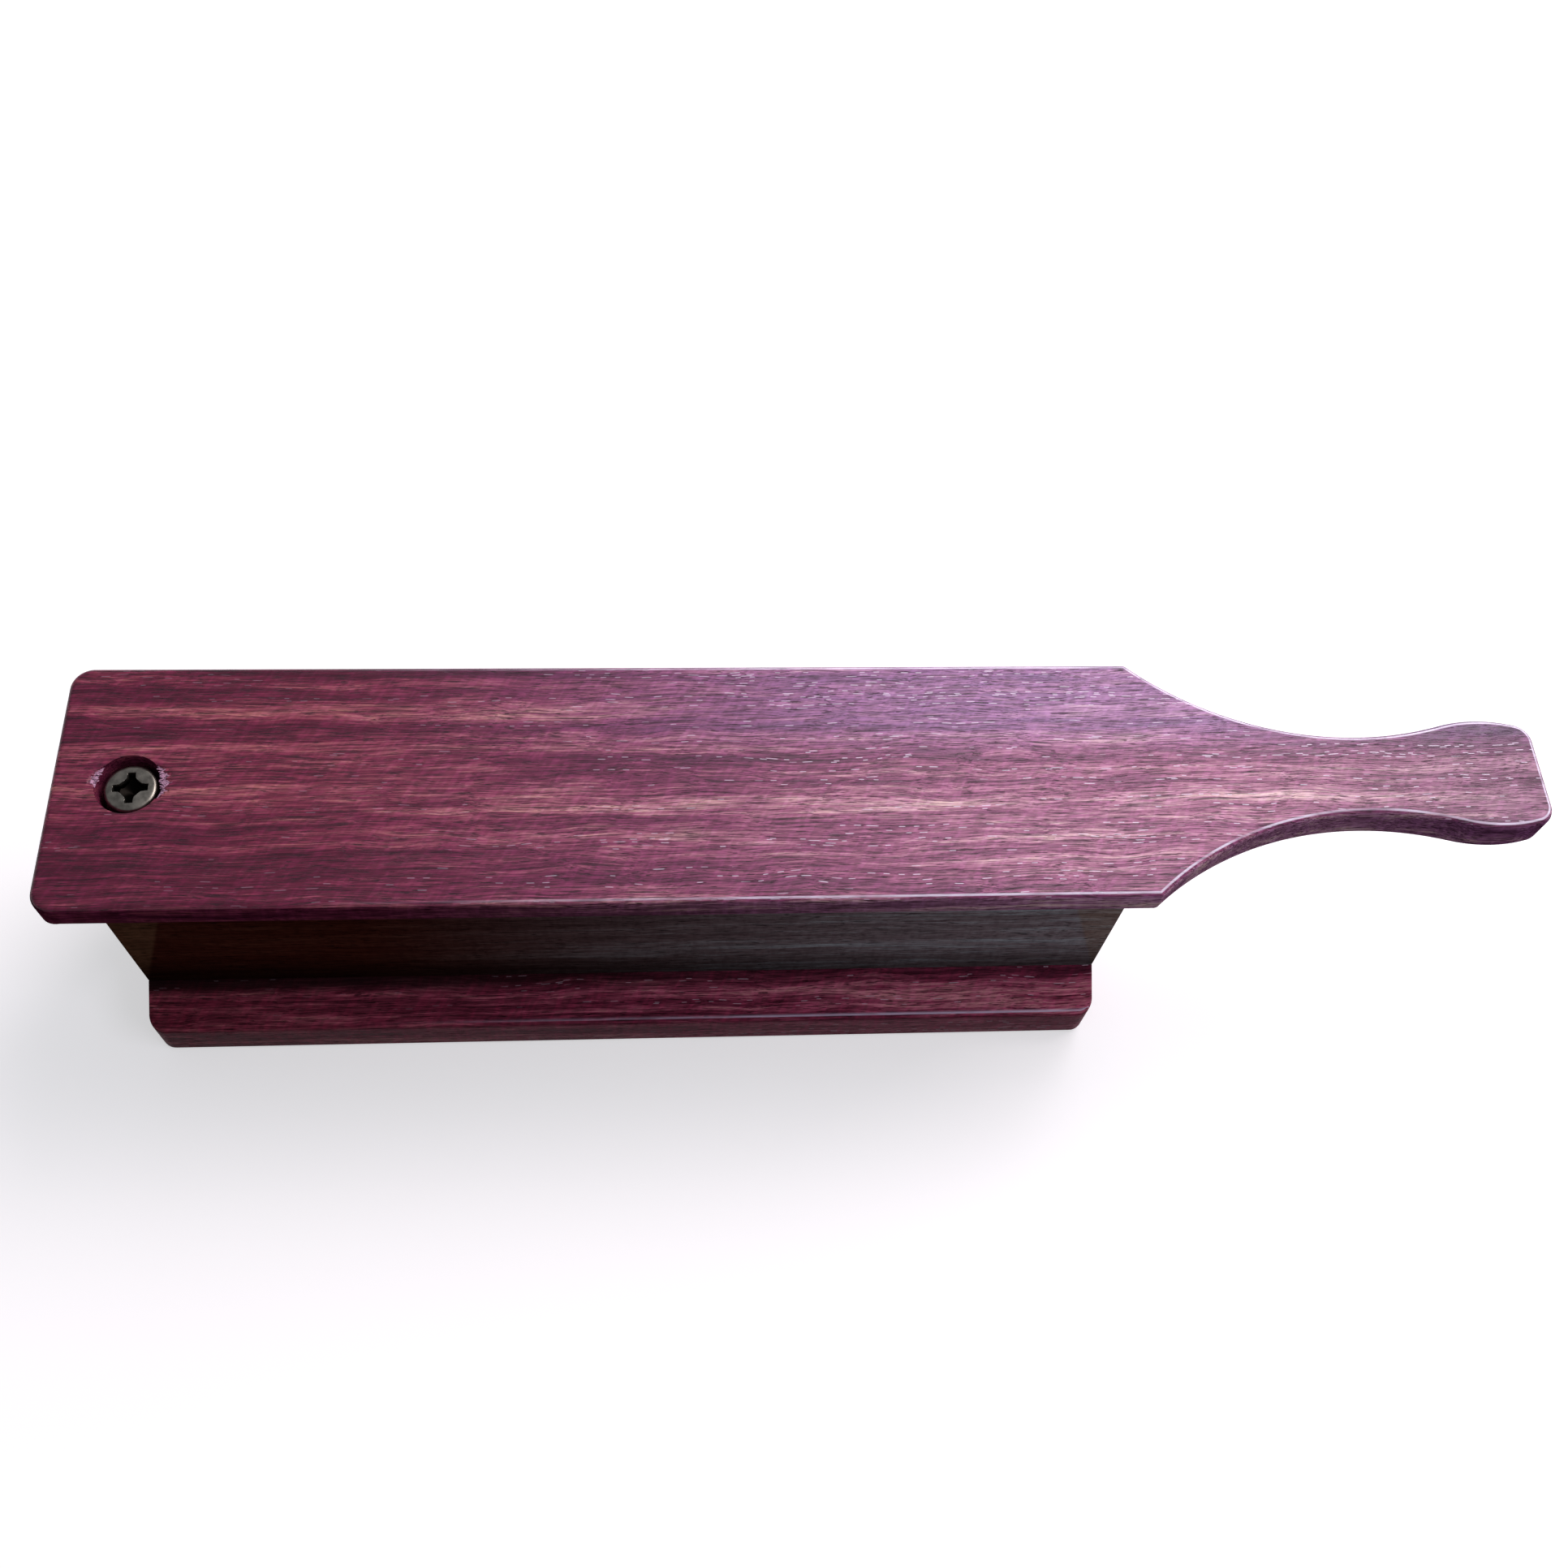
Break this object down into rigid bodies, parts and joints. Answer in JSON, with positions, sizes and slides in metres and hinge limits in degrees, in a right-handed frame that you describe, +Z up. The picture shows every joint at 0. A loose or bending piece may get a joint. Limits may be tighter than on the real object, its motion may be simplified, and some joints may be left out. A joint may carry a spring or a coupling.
{
  "type": "box call",
  "caption": "Wooden box call for calling birds: a hollow sound box on a wide base board and a long paddle lid that swings and rocks on one screw over a coil spring.",
  "frame": {"origin": "centre of the base board's flat underside, which the call rests on", "axes": "+Z up, +X along the box from the screw towards the lid's handle, +Y across the box, away from the viewer of the picture"},
  "size_m": [0.306, 0.064, 0.065],
  "materials": {
    "base_purpleheart": "clear satin lacquer",
    "lid_purpleheart": "clear satin lacquer on the top and sides, bare underside",
    "board_walnut": "clear satin lacquer outside, bare lips",
    "block_walnut": "bare wood",
    "spring_steel": "plain wire",
    "screw_steel": "dull zinc-plated"
  },
  "bodies": {
    "sound_box": {"base_board": "base_purpleheart", "front_side_board": "board_walnut", "rear_side_board": "board_walnut", "pivot_end_block": "block_walnut", "handle_end_block": "block_walnut", "pivot_screw": "screw_steel"},
    "spring": {"tension_spring": "spring_steel"},
    "lid": {"lid_paddle": "lid_purpleheart"}
  },
  "joints": [
    {"name": "lid_swing", "type": "hinge", "parent": "sound_box", "child": "spring", "pos_m": [-0.0979, 0, 0.0548], "axis": [0, 0, 1], "continuous": true},
    {"name": "lid_rock", "type": "hinge", "parent": "spring", "child": "lid", "pos_m": [-0.1034, 0, 0.0548], "axis": [0, -1, 0], "range_deg": [0, 4], "stiffness_Nm_per_rad": 0.075, "springref_deg": -16.62, "deforming": ["tension_spring"]}
  ]
}
